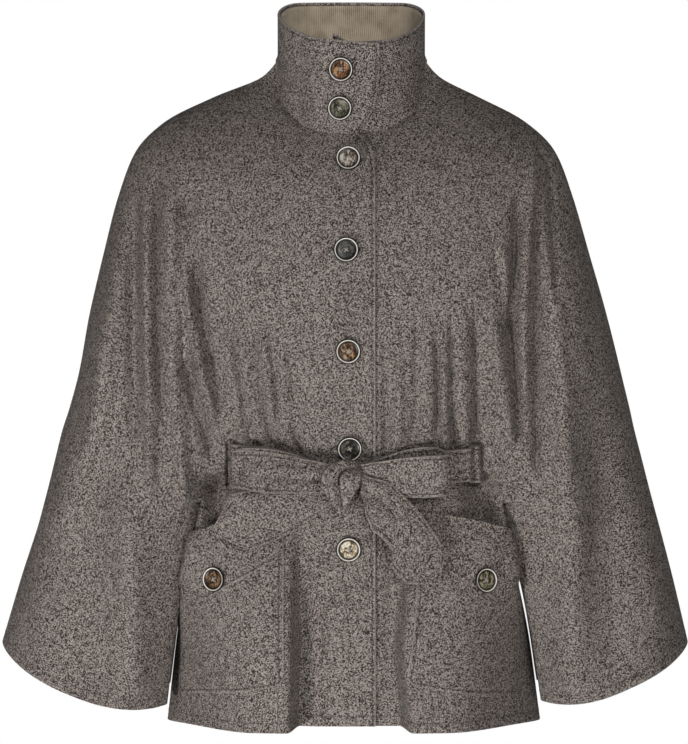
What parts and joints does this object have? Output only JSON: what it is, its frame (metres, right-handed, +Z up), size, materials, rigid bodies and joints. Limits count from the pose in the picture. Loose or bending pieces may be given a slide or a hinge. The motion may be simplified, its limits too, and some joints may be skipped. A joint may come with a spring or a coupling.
{
  "type": "wool cape coat with tie belt",
  "caption": "Hip-length cape coat in wool, with wide wings cut in one with the fronts, a buttoned stand collar, flapped patch pockets and a belt tied in a bow.",
  "frame": {"origin": "where the wearer's shoulders hold the coat: the middle of the neck opening at the height of the shoulder line", "axes": "+Z up the coat, -Y out of its front, +X to the wearer's left"},
  "size_m": [0.702, 0.301, 0.7346],
  "materials": {
    "wool": "matte brownish-grey melton wool with a faint heather",
    "corduroy": "fine tan corduroy",
    "horn": "polished horn-like, mottled, from cream to dark brown"
  },
  "bodies": {
    "root": {"front_right": "wool", "front_left": "wool", "back": "wool", "collar": "wool", "collar_facing": "corduroy", "pocket_right": "wool", "pocket_left": "wool", "flap_right": "wool", "flap_left": "wool", "belt": "wool", "knot": "wool", "loop_right": "wool", "loop_left": "wool", "tail_right": "wool", "tail_left": "wool", "button_1": "horn", "button_2": "horn", "button_3": "horn", "button_4": "horn", "button_5": "horn", "button_6": "horn", "button_7": "horn", "button_pocket_right": "horn", "button_pocket_left": "horn"}
  },
  "joints": []
}
